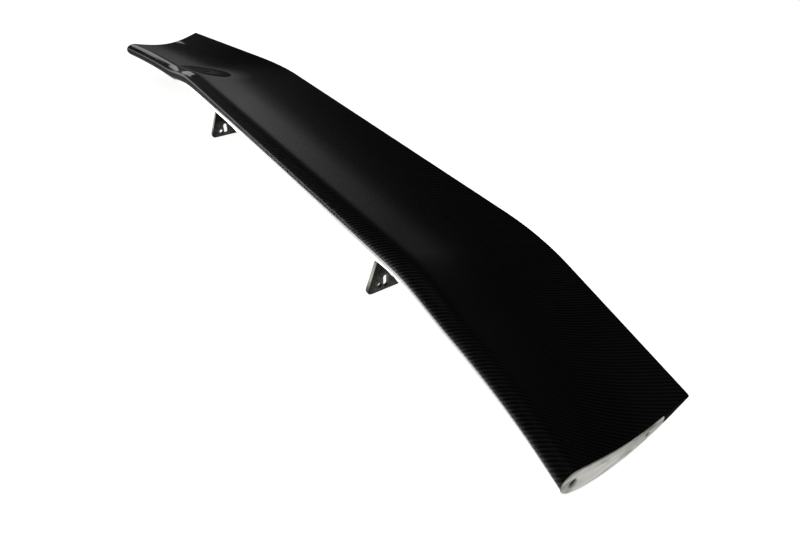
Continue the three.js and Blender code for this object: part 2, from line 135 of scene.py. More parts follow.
class Station:
    """The chord line at one place along the span."""

    def __init__(self, x):
        twist = ease((abs(x) - TWIST[0]) / TWIST[1])
        nose_sweep = sweep(x, *NOSE_SWEEP)
        tail_sweep = sweep(x, *TAIL_SWEEP)
        self.x = x
        self.nose_y = mix(CENTRE_NOSE[0], TIP_NOSE[0], nose_sweep)
        self.nose_z = mix(CENTRE_NOSE[1], TIP_NOSE[1], twist)
        tail_y = mix(CENTRE_TAIL[0], TIP_TAIL[0], tail_sweep)
        tail_z = mix(CENTRE_TAIL[1], TIP_TAIL[1], tail_sweep)
        self.chord = math.hypot(tail_y - self.nose_y, tail_z - self.nose_z)
        self.along_y = (tail_y - self.nose_y) / self.chord
        self.along_z = (tail_z - self.nose_z) / self.chord
        self.fullness = mix(CENTRE_THICKENING, 1, twist)

    def half_thickness(self, t):
        rest = 1 - t * t
        extra = BROW_FULLNESS if t > 0 else CHIN_FULLNESS
        fullness = BODY_FULLNESS + extra * rest**NOSE_TAPER_POWER
        return t * rest * fullness * self.fullness * self.chord + t**3 * TAIL_EDGE / 2

    def outline(self, t):
        """Distance along and above the chord line. t runs from the lower tail, -1, round
        the nose, 0, to the upper tail, 1."""
        u = t * t
        rear = max(1 - u, 0)
        camber = -CAMBER * u ** CAMBER_POWERS[0] * rear ** CAMBER_POWERS[1]
        ridge = 0
        if t > 0:
            share = u / RIDGE_PLACE
            ridge = RIDGE_RISE * (share * math.exp(1 - share)) ** RIDGE_SHARPNESS
        return u * self.chord, (camber + ridge) * self.chord + self.half_thickness(t)

    def point(self, t, depth=0.0):
        """A point of the section, depth inside its surface."""
        step = 1e-4
        u, v = self.outline(t)
        before = self.outline(max(t - step, -1))
        after = self.outline(min(t + step, 1))
        du, dv = after[0] - before[0], after[1] - before[1]
        length = math.hypot(du, dv)
        if abs(t) > 0.6:
            depth = min(depth, abs(self.half_thickness(t)) - JOINT / 2)
        u += dv / length * depth
        v -= du / length * depth
        return Vector((
            self.x,
            self.nose_y + u * self.along_y - v * self.along_z + DATUM_Y,
            self.nose_z + u * self.along_z + v * self.along_y + DATUM_Z,
        ))

    def t_back(self, distance):
        """t at a distance behind the nose, along the chord."""
        return math.sqrt(max(distance, 0) / self.chord)


def underside(x, y, offset):
    """Height of the wing's underside at a place, offset below the surface. y is from the datum."""
    station = Station(x)
    t = -station.t_back((y - station.nose_y) / station.along_y)
    return station.point(t, -offset).z


def t_range(start, end, steps):
    return [mix(start, end, i / steps) for i in range(steps + 1)]


def span_stations(end, facet):
    start = min(NOSE_SWEEP[0], TAIL_SWEEP[0], TWIST[0])
    count = math.ceil((end - start) / facet)
    outer = [mix(start, end, i / count) for i in range(count + 1)]
    middle = [start * k / 4 for k in range(-3, 4)]
    return [-x for x in reversed(outer)] + middle + outer


# ------------------------------------------------------------ bracket plate sizes

PLATE_FRONT_TOP = 27 * MM  # distances behind the datum, along the plate's outline
PLATE_FRONT_FOOT = 2 * MM
PLATE_HEIGHT = underside(BRACKET_X, PLATE_FRONT_TOP, 0) - PLATE_BOTTOM


# ------------------------------------------------------------ mesh helpers


def new_object(name, mesh, material):
    piece = bpy.data.objects.new(name, mesh)
    bpy.context.scene.collection.objects.link(piece)
    if material is not None:
        mesh.materials.append(material)
    return piece


def loft_mesh(name, rings):
    """Quads through rings of the same number of points, with a face on each end."""
    count = len(rings[0])
    verts = [p for ring in rings for p in ring]
    faces = []
    for j in range(len(rings) - 1):
        for i in range(count):
            a, b = j * count + i, j * count + (i + 1) % count
            faces.append((a, b, b + count, a + count))
    faces.append(tuple(range(count - 1, -1, -1)))
    faces.append(tuple(range((len(rings) - 1) * count, len(rings) * count)))
    mesh = bpy.data.meshes.new(name)
    mesh.from_pydata([tuple(v) for v in verts], [], faces)
    mesh.validate()
    face_outward(mesh)
    return mesh


def face_outward(mesh):
    bm = bmesh.new()
    bm.from_mesh(mesh)
    bmesh.ops.recalc_face_normals(bm, faces=bm.faces)
    bm.to_mesh(mesh)
    bm.free()


def smooth(mesh, angle):
    for polygon in mesh.polygons:
        polygon.use_smooth = True
    mesh.set_sharp_from_angle(angle=math.radians(angle))


def apply_booleans(piece, cutters, operation="DIFFERENCE"):
    """Cuts the tools out of a piece, or joins them to it, and removes them."""
    for cutter in cutters:
        modifier = piece.modifiers.new("tool", "BOOLEAN")
        modifier.operation = operation
        modifier.solver = "EXACT"
        modifier.object = cutter
    depsgraph = bpy.context.evaluated_depsgraph_get()
    mesh = bpy.data.meshes.new_from_object(piece.evaluated_get(depsgraph))
    piece.modifiers.clear()
    old = piece.data
    piece.data = mesh
    mesh.name = old.name
    bpy.data.meshes.remove(old)
    for cutter in cutters:
        spare = cutter.data
        bpy.data.objects.remove(cutter)
        if spare.users == 0:
            bpy.data.meshes.remove(spare)


def turned(name, profile, steps, place):
    """A solid turned round the Z axis, from (radius, height) pairs, set at a place."""
    rings = []
    for radius, height in profile:
        ring = []
        for i in range(steps):
            angle = 2 * math.pi * i / steps
            ring.append(Vector((
                place.x + max(radius, 1e-6) * math.cos(angle),
                place.y + max(radius, 1e-6) * math.sin(angle),
                place.z + height,
            )))
        rings.append(ring)
    return loft_mesh(name, rings)


def turned_across(name, profile, steps, place):
    """The same, round an axis along X, from (radius, x) pairs."""
    rings = []
    for radius, along in profile:
        ring = []
        for i in range(steps):
            angle = 2 * math.pi * i / steps
            ring.append(Vector((
                along,
                place.y + radius * math.cos(angle),
                place.z + radius * math.sin(angle),
            )))
        rings.append(ring)
    return loft_mesh(name, rings)


# ------------------------------------------------------------ node helpers


class Nodes:
    """Short forms for building a node tree."""

    def __init__(self, name):
        self.material = bpy.data.materials.new(name)
        self.material.use_nodes = True
        self.tree = self.material.node_tree
        self.shader = self.tree.nodes["Principled BSDF"]

    def add(self, kind, **settings):
        node = self.tree.nodes.new(kind)
        for key, value in settings.items():
            setattr(node, key, value)
        return node

    def put(self, socket, value):
        if isinstance(value, bpy.types.NodeSocket):
            self.tree.links.new(value, socket)
        else:
            socket.default_value = value

    def math(self, operation, *values):
        node = self.add("ShaderNodeMath", operation=operation)
        for socket, value in zip(node.inputs, values):
            self.put(socket, value)
        return node.outputs[0]

    def noise(self, vector, scale, detail=2.0, roughness=0.5):
        node = self.add("ShaderNodeTexNoise")
        self.put(node.inputs["Vector"], vector)
        node.inputs["Scale"].default_value = scale
        node.inputs["Detail"].default_value = detail
        node.inputs["Roughness"].default_value = roughness
        return node.outputs["Fac"]

    def stretched(self, vector, scale, rotation=(0, 0, 0)):
        node = self.add("ShaderNodeMapping")
        self.put(node.inputs["Vector"], vector)
        node.inputs["Scale"].default_value = scale
        node.inputs["Rotation"].default_value = rotation
        return node.outputs[0]

    def remap(self, value, low, high, to_low, to_high):
        node = self.add("ShaderNodeMapRange")
        for socket, given in zip(node.inputs, (value, low, high, to_low, to_high)):
            self.put(socket, given)
        return node.outputs[0]

    def colour_mix(self, factor, first, second):
        node = self.add("ShaderNodeMix", data_type="RGBA")
        self.put(node.inputs[0], factor)
        self.put(node.inputs[6], first)
        self.put(node.inputs[7], second)
        return node.outputs[2]

    def combine(self, x, y, z):
        node = self.add("ShaderNodeCombineXYZ")
        for socket, value in zip(node.inputs, (x, y, z)):
            self.put(socket, value)
        return node.outputs[0]

    def split(self, vector):
        node = self.add("ShaderNodeSeparateXYZ")
        self.put(node.inputs[0], vector)
        return node.outputs

    def coordinates(self):
        return self.add("ShaderNodeTexCoord").outputs["Object"]

    def bump(self, height, strength, distance):
        node = self.add("ShaderNodeBump")
        node.inputs["Strength"].default_value = strength
        node.inputs["Distance"].default_value = distance
        self.put(node.inputs["Height"], height)
        return node.outputs[0]

    def set(self, **values):
        """Principled sockets by name, with _ for a space."""
        for key, value in values.items():
            self.put(self.shader.inputs[key.replace("_", " ")], value)


# ------------------------------------------------------------ cloth

TOW = 1.75 * MM  # width of one tow: the pattern repeats every four


def twill(nodes, along, across):
    """2x2 twill. Returns the tow height, 1 where a lengthwise tow is on top, and both
    tow coordinates."""
    p = nodes.math("DIVIDE", along, TOW)
    q = nodes.math("DIVIDE", across, TOW)
    drift = nodes.noise(nodes.combine(p, q, 0.0), 0.11, 1.0)
    drift = nodes.math("MULTIPLY", nodes.math("SUBTRACT", drift, 0.5), 0.5)
    p = nodes.math("ADD", p, drift)
    q = nodes.math("ADD", q, drift)
    cell_p, cell_q = nodes.math("FLOOR", p), nodes.math("FLOOR", q)
    in_p, in_q = nodes.math("SUBTRACT", p, cell_p), nodes.math("SUBTRACT", q, cell_q)
    order = nodes.math("WRAP", nodes.math("SUBTRACT", cell_p, cell_q), 4.0, 0.0)
    lengthwise = nodes.math("LESS_THAN", order, 1.5)

    def tow_height(side, run):
        cross = nodes.math("MULTIPLY_ADD", side, 2.0, -1.0)
        crown = nodes.math("MULTIPLY_ADD", nodes.math("MULTIPLY", cross, cross), -0.8, 1.0)
        arch = nodes.math("SINE", nodes.math("MULTIPLY", run, math.pi / 2))
        return nodes.math("MULTIPLY", crown, nodes.math("MULTIPLY_ADD", arch, 0.5, 0.5))

    run_q = nodes.math("ADD", nodes.math("SUBTRACT", 1.0, order), in_q)
    run_p = nodes.math("ADD", nodes.math("SUBTRACT", order, 2.0), in_p)
    up = nodes.math("MULTIPLY", tow_height(in_p, run_q), lengthwise)
    weft = nodes.math("SUBTRACT", 1.0, lengthwise)
    over = nodes.math("MULTIPLY", tow_height(in_q, run_p), weft)
    return nodes.math("ADD", up, over), lengthwise, p, q


def fibre_streaks(nodes, lengthwise, p, q):
    """Fine streaks along each tow."""
    down = nodes.noise(nodes.combine(nodes.math("MULTIPLY", p, 9.0), q, 0.0), 1.0, 2.0)
    over = nodes.noise(nodes.combine(p, nodes.math("MULTIPLY", q, 9.0), 0.0), 1.0, 2.0)
    node = nodes.add("ShaderNodeMix", data_type="FLOAT")
    nodes.put(node.inputs[0], lengthwise)
    nodes.put(node.inputs[2], over)
    nodes.put(node.inputs[3], down)
    return node.outputs[0]


def gloss_carbon():
    """Lacquered twill. The cloth runs along the span, by the skins' own coordinates."""
    nodes = Nodes("gloss_carbon")
    uv = nodes.add("ShaderNodeUVMap", uv_map="cloth").outputs[0]
    x, y, _ = nodes.split(uv)
    height, lengthwise, p, q = twill(nodes, x, y)
    streaks = fibre_streaks(nodes, lengthwise, p, q)
    tone = nodes.math("MULTIPLY", height, nodes.remap(streaks, 0.3, 0.7, 0.6, 1.0))
    # Weave tone, with the lengthwise tows painted lighter: a painted sheen that stands in for the
    # fibres' direction-dependent reflection.
    weave_and_painted_sheen = nodes.math("MULTIPLY", tone, nodes.math("MULTIPLY_ADD", lengthwise, 0.75, 0.25))
    colour = nodes.colour_mix(weave_and_painted_sheen, (0.0004, 0.0004, 0.0004, 1), (0.011, 0.011, 0.0112, 1))
    roughness = nodes.remap(streaks, 0.3, 0.7, 0.26, 0.38)
    relief = nodes.math("MULTIPLY_ADD", streaks, 0.12, height)
    position = nodes.coordinates()
    peel = nodes.noise(position, 210.0, 2.0)
    tangent = nodes.add("ShaderNodeTangent", direction_type="UV_MAP", uv_map="cloth").outputs[0]
    nodes.set(
        Base_Color=colour,
        Roughness=roughness,
        Normal=nodes.bump(relief, 1.0, 0.3 * MM),
        Specular_IOR_Level=nodes.math("MULTIPLY_ADD", weave_and_painted_sheen, 0.14, 0.02),
        Anisotropic=0.5,
        Anisotropic_Rotation=nodes.math("MULTIPLY", lengthwise, 0.25),
        Tangent=tangent,
        Coat_Weight=1.0,
        Coat_Roughness=nodes.remap(nodes.noise(position, 30.0, 3.0), 0.35, 0.7, 0.02, 0.045),
        Coat_IOR=1.5,
        Coat_Normal=nodes.bump(peel, 0.035, 0.5 * MM),
    )
    return nodes.material


def bare_carbon(name, axes):
    """Unlacquered laminate in a plane of two axes."""
    nodes = Nodes(name)
    position = nodes.coordinates()
    parts = nodes.split(position)
    height, lengthwise, p, q = twill(nodes, parts[axes[0]], parts[axes[1]])
    streaks = fibre_streaks(nodes, lengthwise, p, q)
    dust = nodes.noise(position, 45.0, 4.0)
    tone = nodes.math("MULTIPLY", height, nodes.remap(streaks, 0.3, 0.7, 0.5, 1.0))
    colour = nodes.colour_mix(tone, (0.008, 0.008, 0.009, 1), (0.04, 0.04, 0.042, 1))
    nodes.set(
        Base_Color=nodes.colour_mix(
            nodes.remap(dust, 0.5, 0.9, 0.0, 0.4), colour, (0.06, 0.06, 0.058, 1)),
        Roughness=nodes.remap(dust, 0.3, 0.7, 0.42, 0.6),
        Normal=nodes.bump(height, 0.6, 0.15 * MM),
    )
    return nodes.material


def adhesive():
    nodes = Nodes("adhesive")
    position = nodes.coordinates()
    lumps = nodes.noise(position, 160.0, 5.0, 0.6)
    bubbles = nodes.add("ShaderNodeTexVoronoi", feature="F1")
    nodes.put(bubbles.inputs["Vector"], position)
    bubbles.inputs["Scale"].default_value = 420.0
    pits = nodes.remap(bubbles.outputs["Distance"], 0.0, 0.35, 0.0, 1.0)
    nodes.set(
        Base_Color=nodes.colour_mix(lumps, (0.018, 0.018, 0.017, 1), (0.05, 0.05, 0.047, 1)),
        Roughness=nodes.remap(lumps, 0.3, 0.7, 0.35, 0.7),
        Normal=nodes.bump(nodes.math("MULTIPLY", pits, lumps), 0.4, 0.3 * MM),
    )
    return nodes.material


def resin():
    """Black resin in the seams, rubbed level with the lacquer."""
    nodes = Nodes("seam_resin")
    position = nodes.coordinates()
    grain = nodes.noise(position, 900.0, 3.0)
    nodes.set(
        Base_Color=nodes.colour_mix(grain, (0.002, 0.002, 0.002, 1), (0.008, 0.008, 0.0085, 1)),
        Roughness=nodes.remap(grain, 0.3, 0.7, 0.4, 0.6),
        Normal=nodes.bump(grain, 0.1, 0.1 * MM),
        Specular_IOR_Level=0.05,
    )
    return nodes.material


def sanded_aluminium():
    """Streaks along the chord from flatting the end face, with grey stains and scuffs,
    and painted shade in the bores, darker and less shiny with depth from the face."""
    nodes = Nodes("sanded_aluminium")
    position = nodes.coordinates()
    tilt = (math.radians(4.5), 0, 0)
    fine = nodes.noise(nodes.stretched(position, (900, 90, 2600), tilt), 1.0, 3.0, 0.6)
    broad = nodes.noise(nodes.stretched(position, (60, 14, 170), tilt), 1.0, 4.0, 0.55)
    stain = nodes.noise(nodes.stretched(position, (40, 22, 60), tilt), 1.0, 3.0, 0.6)
    scratch = nodes.noise(nodes.stretched(position, (400, 45, 5200), (0.35, 0, 0)), 1.0, 1.0)
    cuts = nodes.remap(scratch, 0.68, 0.76, 0.0, 1.0)
    base = nodes.colour_mix(
        nodes.remap(broad, 0.35, 0.68, 0.0, 1.0), (0.44, 0.435, 0.405, 1), (0.78, 0.77, 0.72, 1))
    worn = nodes.colour_mix(
        nodes.remap(stain, 0.5, 0.66, 0.0, 0.85), base, (0.2, 0.196, 0.18, 1))
    scuffed = nodes.colour_mix(nodes.math("MULTIPLY", cuts, 0.5), worn, (0.75, 0.74, 0.7, 1))
    # Painted shade: the bores get darker and less shiny with depth from the end face.
    depth = nodes.math("SUBTRACT", HALF_SPAN, nodes.math("ABSOLUTE", nodes.split(position)[0]))
    bore_painted_shade = nodes.remap(depth, 0.8 * MM, 2.2 * MM, 0.0, 0.96)
    nodes.set(
        Base_Color=nodes.colour_mix(bore_painted_shade, scuffed, (0.02, 0.02, 0.019, 1)),
        Metallic=0.15,
        Specular_IOR_Level=nodes.math("SUBTRACT", 0.5, nodes.math("MULTIPLY", bore_painted_shade, 0.48)),
        Roughness=nodes.math(
            "ADD", nodes.remap(broad, 0.3, 0.7, 0.34, 0.52), nodes.math("MULTIPLY", fine, 0.12)),
        Normal=nodes.bump(nodes.math("SUBTRACT", fine, cuts), 0.35, 0.06 * MM),
        Anisotropic=0.4,
    )
    return nodes.material


def machined_block():
    """Milled blocks inside the wing: arcs left by the cutter."""
    nodes = Nodes("machined_block")
    position = nodes.coordinates()
    wave = nodes.add("ShaderNodeTexWave", wave_type="RINGS", rings_direction="Z")
    nodes.put(wave.inputs["Vector"], position)
    wave.inputs["Scale"].default_value = 420.0
    wave.inputs["Distortion"].default_value = 0.6
    mottle = nodes.noise(position, 90.0, 4.0)
    nodes.set(
        Base_Color=nodes.colour_mix(mottle, (0.45, 0.45, 0.44, 1), (0.62, 0.62, 0.6, 1)),
        Metallic=1.0,
        Roughness=nodes.remap(mottle, 0.3, 0.7, 0.24, 0.42),
        Normal=nodes.bump(wave.outputs["Fac"], 0.2, 0.05 * MM),
    )
    return nodes.material


def black_anodised():
    """Satin black over blasted aluminium, rubbed paler on edges, with a painted highlight
    along the plate's front edge that fades out towards the bottom."""
    nodes = Nodes("black_anodised")
    position = nodes.coordinates()
    blast = nodes.noise(position, 1500.0, 3.0, 0.6)
    cloud = nodes.noise(position, 110.0, 4.0, 0.6)
    rub = nodes.noise(nodes.stretched(position, (240, 700, 240)), 1.0, 4.0, 0.65)
    edge = nodes.remap(nodes.add("ShaderNodeNewGeometry").outputs["Pointiness"], 0.52, 0.6, 0.0, 1.0)
    # Painted highlight: a pale band along the plate's front edge, fading out towards the bottom.
    _, y, z = nodes.split(position)
    slope = (PLATE_FRONT_TOP - PLATE_FRONT_FOOT) / PLATE_HEIGHT
    rise = nodes.math("SUBTRACT", z, PLATE_BOTTOM)
    edge_y = nodes.math("MULTIPLY_ADD", rise, slope, DATUM_Y + PLATE_FRONT_FOOT)
    front = nodes.remap(nodes.math("SUBTRACT", y, edge_y), 0.6 * MM, 1.2 * MM, 1.0, 0.0)
    front = nodes.math("MULTIPLY", front, nodes.remap(rise, 6 * MM, 26 * MM, 0.0, 1.0))
    edge_wear_and_highlight = nodes.math("MULTIPLY", edge, nodes.remap(rub, 0.42, 0.66, 0.0, 1.0))
    painted_front_highlight = nodes.math("MULTIPLY", front, nodes.remap(rub, 0.2, 0.6, 0.6, 0.9))
    # Rubbed edges are real wear; the front band joined to them here is a painted highlight.
    edge_wear_and_highlight = nodes.math("MAXIMUM", edge_wear_and_highlight, painted_front_highlight)
    base = nodes.colour_mix(
        nodes.remap(cloud, 0.3, 0.7, 0.0, 1.0), (0.002, 0.002, 0.0021, 1), (0.009, 0.009, 0.0092, 1))
    nodes.set(
        Base_Color=nodes.colour_mix(
            nodes.math("MULTIPLY", edge_wear_and_highlight, 0.9), base, (0.42, 0.41, 0.37, 1)),
        Metallic=nodes.math("MULTIPLY_ADD", edge_wear_and_highlight, 0.6, 0.0),
        Roughness=nodes.math(
            "ADD", nodes.remap(cloud, 0.3, 0.7, 0.5, 0.64), nodes.math("MULTIPLY", blast, 0.08)),
        Normal=nodes.bump(blast, 0.5, 0.1 * MM),
        Specular_IOR_Level=0.02,
    )
    return nodes.material


def black_steel():
    """Black-oxide screws with a little oil sheen and bright rubbed edges."""
    nodes = Nodes("black_steel")
    position = nodes.coordinates()
    grain = nodes.noise(position, 1300.0, 3.0)
    sheen = nodes.noise(position, 300.0, 3.0)
    edge = nodes.remap(nodes.add("ShaderNodeNewGeometry").outputs["Pointiness"], 0.55, 0.66, 0.0, 0.6)
    base = nodes.colour_mix(sheen, (0.012, 0.012, 0.014, 1), (0.03, 0.029, 0.031, 1))
    nodes.set(
        Base_Color=nodes.colour_mix(edge, base, (0.2, 0.2, 0.2, 1)),
        Metallic=0.85,
        Roughness=nodes.remap(sheen, 0.3, 0.7, 0.26, 0.42),
        Normal=nodes.bump(grain, 0.2, 0.05 * MM),
    )
    return nodes.material


def floor_finish():
    """Plain pale light table. In mirror reflections it shows a painted pool of light: a
    bright oval under the wing that fades to a dark floor beyond. The camera sees it evenly white."""
    nodes = Nodes("studio_floor")
    position = nodes.coordinates()
    x, y, _ = nodes.split(position)
    # Painted pool of light, seen only in mirror reflections: brightest in an oval under the wing.
    shares = [
        nodes.math("DIVIDE", nodes.math("SUBTRACT", axis, middle), half)
        for axis, middle, half in zip((x, y), GLOW_MIDDLE, GLOW_HALF)
    ]
    squares = [nodes.math("MULTIPLY", share, share) for share in shares]
    distance = nodes.math("SQRT", nodes.math("ADD", *squares))
    fade = nodes.remap(distance, GLOW_FADE[0], GLOW_FADE[1], 1.0, GLOW_FAR)
    path = nodes.add("ShaderNodeLightPath")
    strength = nodes.add("ShaderNodeMix", data_type="FLOAT")
    nodes.put(strength.inputs[0], path.outputs["Is Glossy Ray"])
    strength.inputs[2].default_value = FLOOR_GLOW
    nodes.put(strength.inputs[3], nodes.math("MULTIPLY", fade, GLOW_MIRRORED))
    speck = nodes.noise(position, 6.0, 3.0)
    nodes.set(
        Base_Color=nodes.colour_mix(
            path.outputs["Is Glossy Ray"],
            nodes.colour_mix(speck, (0.82, 0.82, 0.815, 1), (0.86, 0.86, 0.855, 1)),
            (MIRRORED_ALBEDO,) * 3 + (1,)),
        Roughness=0.9,
        Specular_IOR_Level=0.0,
        Emission_Color=(1.0, 1.0, 0.99, 1),
        Emission_Strength=strength.outputs[0],
    )
    return nodes.material


# ------------------------------------------------------------ skins

SPAN_FACET = 5 * MM
SECTION_STEPS = 72
NOSE_STEEPNESS = BODY_FULLNESS + (BROW_FULLNESS + CHIN_FULLNESS) / 2
SEAM_FILL = 0.98  # share of a seam's width that its resin takes
SEAM_SUNK = 0.04 * MM
TAIL_SEAM_SHARES = (0.93, 0.95, 0.97, 0.985, 0.9985)  # of the chord


def seam_t(station):
    """Half the nose seam, as a t value."""
    return JOINT / 2 / (station.chord * station.fullness * NOSE_STEEPNESS)


def shell_ring(station, values, shallow, deep):
    outer = [station.point(t, shallow) for t in values]
    inner = [station.point(t, deep) for t in reversed(values)]
    return outer + inner


def add_cloth_map(mesh, rings, stations, values):
    """Cloth coordinates in metres: x along the span, y from the nose round the section.
    The cloth lies square to the span, so y starts from each station's nose."""
    count = len(rings[0])
    reach = []
    for ring, station in zip(rings, stations):
        half = count // 2
        lengths = [0.0]
        for i in range(1, half):
            lengths.append(lengths[-1] + (ring[i] - ring[i - 1]).length)
        nose = min(range(half), key=lambda i: abs(values(station)[i]))
        outer = [station.nose_y + (l - lengths[nose]) for l in lengths]
        reach.append(outer + outer[::-1])
    layer = mesh.uv_layers.new(name="cloth")
    for loop in mesh.loops:
        j, i = divmod(loop.vertex_index, count)
        layer.data[loop.index].uv = (stations[j].x, reach[j][i])


def make_skin(name, node, upper, cutters, material):
    stations = [Station(x) for x in span_stations(SKIN_END, SPAN_FACET)]

    def values(station):
        start = seam_t(station)
        return t_range(start, 1, SECTION_STEPS) if upper else t_range(-1, -start, SECTION_STEPS)

    rings = [shell_ring(s, values(s), 0, SKIN) for s in stations]
    mesh = loft_mesh(name, rings)
    add_cloth_map(mesh, rings, stations, values)
    piece = new_object(name, mesh, material)
    if cutters:
        apply_booleans(piece, cutters)
    smooth(piece.data, 40)
    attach(piece, "root")
    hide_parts(node)


def make_seam_resin(material):
    """The bond line at the nose, and the one between the skins' rear edges."""
    stations = [Station(x) for x in span_stations(SKIN_END, SPAN_FACET)]
    rings = []
    for s in stations:
        half = seam_t(s) * SEAM_FILL
        rings.append(shell_ring(s, t_range(-half, half, 4), SEAM_SUNK, SKIN))
    mesh = loft_mesh("nose_bond", rings)
    nose = new_object("leading_edge_bond_line", mesh, material)
    rings = []
    gap = SEAM_FILL * JOINT / 2
    for s in stations:
        ring = []
        for side in (1, -1):
            for share in TAIL_SEAM_SHARES if side > 0 else reversed(TAIL_SEAM_SHARES):
                t = math.sqrt(share)
                ring.append(s.point(side * t, abs(s.half_thickness(t)) - gap))
        rings.append(ring)
    mesh = loft_mesh("tail_bond", rings)
    tail = new_object("trailing_edge_bond_line", mesh, material)
    for piece in (nose, tail):
        smooth(piece.data, 40)
        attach(piece, "root")


# ------------------------------------------------------------ end ribs

EDGE_BREAK = 0.25 * MM
END_STEPS = 168
# Each bolt hole: behind the nose, size, size at the face.
FRONT_BOLT = (16.5 * MM, 6.6 * MM, 13 * MM)
REAR_BOLT = (125.5 * MM, 6 * MM, 6.8 * MM)
CLOSEOUT_DEPTH = 3 * MM
CLOSEOUT_CLEAR = 0.02 * MM


def end_ring(station, x, tail_t, depth):
    ring = [station.point(t, depth) for t in t_range(-tail_t, tail_t, END_STEPS)]
    for p in ring:
        p.x = x
    return ring


def make_end_rib(word, side, material):
    tip = Station(side * HALF_SPAN)
    plug_end = Station(side * PLUG_IN)
    full_tail = math.sqrt(END_TAIL_SHARE)
    back_off = math.sqrt(END_TAIL_SHARE - EDGE_BREAK / tip.chord)
    plug_tail = tip.t_back(END_TAIL_SHARE * tip.chord - JOINT)
    plug_in = side * PLUG_IN
    rings = [
        end_ring(tip, side * HALF_SPAN, back_off, EDGE_BREAK),
        end_ring(tip, side * (HALF_SPAN - EDGE_BREAK), full_tail, 0),
        end_ring(tip, side * FLANGE_IN, full_tail, 0),
        end_ring(tip, side * (FLANGE_IN - 1e-6), plug_tail, LINING),
        end_ring(plug_end, plug_in + side * EDGE_BREAK * 2, plug_tail, LINING),
        end_ring(plug_end, plug_in, plug_tail - 0.002, LINING + 2 * EDGE_BREAK),
    ]
    name = f"end_rib_{word}_finished"
    piece = new_object(name, loft_mesh(name, rings), material)

    def middle(back):
        t = tip.t_back(back)
        return (tip.point(t) + tip.point(-t)) / 2

    def bore(back, size, sink):
        outer = side * HALF_SPAN
        depth = (sink - size) / 2
        profile = [
            (size / 2, plug_in - side * MM),
            (size / 2, outer - side * depth),
            (sink / 2, outer),
            (sink / 2 + MM, outer + side * MM),
        ]
        mesh = turned_across("bore", profile, 64, middle(back))
        return new_object("bore", mesh, None)

    apply_booleans(piece, [bore(*FRONT_BOLT), bore(*REAR_BOLT)])
    smooth(piece.data, 30)
    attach(piece, "root")
    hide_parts(f"end_rib_{word}")


def make_tail_closeout(word, side, material):
    """Resin that closes the skins' open ends behind the end rib: a plug between the
    skins, then a lip that covers their ends."""
    shares = [mix(END_TAIL_SHARE + 0.004, 0.998, i / 10) for i in range(11)]

    def ring(shape_x, x, depth):
        station = Station(side * shape_x)
        points = []
        for sign in (1, -1):
            for share in shares if sign > 0 else reversed(shares):
                t = math.sqrt(share)
                room = abs(station.half_thickness(t)) - 0.05 * MM
                point = station.point(sign * t, min(depth, room))
                point.x = side * x
                points.append(point)
        return points

    plug_start = SKIN_END - CLOSEOUT_DEPTH
    lip_start = SKIN_END + CLOSEOUT_CLEAR
    lip_end = SKIN_END + 0.9 * (HALF_SPAN - SKIN_END)
    rings = [
        ring(plug_start, plug_start, SKIN + CLOSEOUT_CLEAR),
        ring(SKIN_END, lip_start, SKIN + CLOSEOUT_CLEAR),
        ring(lip_end, lip_start, CLOSEOUT_CLEAR),
        ring(lip_end, lip_end, CLOSEOUT_CLEAR),
    ]
    name = f"tail_closeout_{word}"
    piece = new_object(name, loft_mesh(name, rings), material)
    smooth(piece.data, 30)
    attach(piece, "root")


# ------------------------------------------------------------ brackets

PLATE = 7 * MM
PLATE_CORNER = 13 * MM
CORNER_STEPS = 14
PLATE_REAR_FOOT = 76 * MM
PLATE_TOP_INSET = 7 * MM
PIVOT = (27.3 * MM, 11.2 * MM, 8.2 * MM)  # behind the datum, above the edge, size
SLOT = (38.2 * MM, 16.1 * MM, 8.4 * MM, 21.5 * MM)  # the same, with its length
FOOT = 5 * MM
FOOT_FRONT = 20 * MM
FOOT_REAR = low_high("mount_bracket_left")[1].y - DATUM_Y
PLATE_REAR_TOP = FOOT_REAR - PLATE_TOP_INSET
PLATE_BREAK = 0.7 * MM
FOOT_ROUND = 1.6 * MM
FOOT_ROUND_STEPS = (0, 0.12, 0.35, 0.65, 1)  # shares of the rounding
FOOT_LEAST = 1.5 * MM  # the foot's thickness at its corners
FILLET = 3.2 * MM
FILLET_INSIDE = 0.8 * MM  # how far it reaches into the plate and the foot
FILLET_ENDS = 1.2 * MM  # short of the plate's corners
FILLET_STEPS = 24
BURY = FOOT / 2


def plate_outline():
    """The plate's outline in (y, z), from the datum, with rounded lower corners."""

    def top(y):
        return underside(BRACKET_X, y, JOINT + BURY)

    front_top = Vector((PLATE_FRONT_TOP, top(PLATE_FRONT_TOP)))
    rear_top = Vector((PLATE_REAR_TOP, top(PLATE_REAR_TOP)))
    front_foot = Vector((PLATE_FRONT_FOOT, PLATE_BOTTOM))
    rear_foot = Vector((PLATE_REAR_FOOT, PLATE_BOTTOM))

    def corner(before, at, after):
        start = at + (before - at).normalized() * PLATE_CORNER
        end = at + (after - at).normalized() * PLATE_CORNER
        points = []
        for i in range(CORNER_STEPS + 1):
            s = i / CORNER_STEPS
            points.append(start * (1 - s) ** 2 + at * 2 * s * (1 - s) + end * s * s)
        return points

    points = [front_top.lerp(front_foot, k / 6) for k in range(5)]
    points += corner(front_top, front_foot, rear_foot)
    points += corner(front_foot, rear_foot, rear_top)
    points += [rear_foot.lerp(rear_top, k / 6) for k in range(2, 7)]
    for k in range(1, 12):
        y = mix(PLATE_REAR_TOP, PLATE_FRONT_TOP, k / 12)
        points.append(Vector((y, top(y))))
    return points


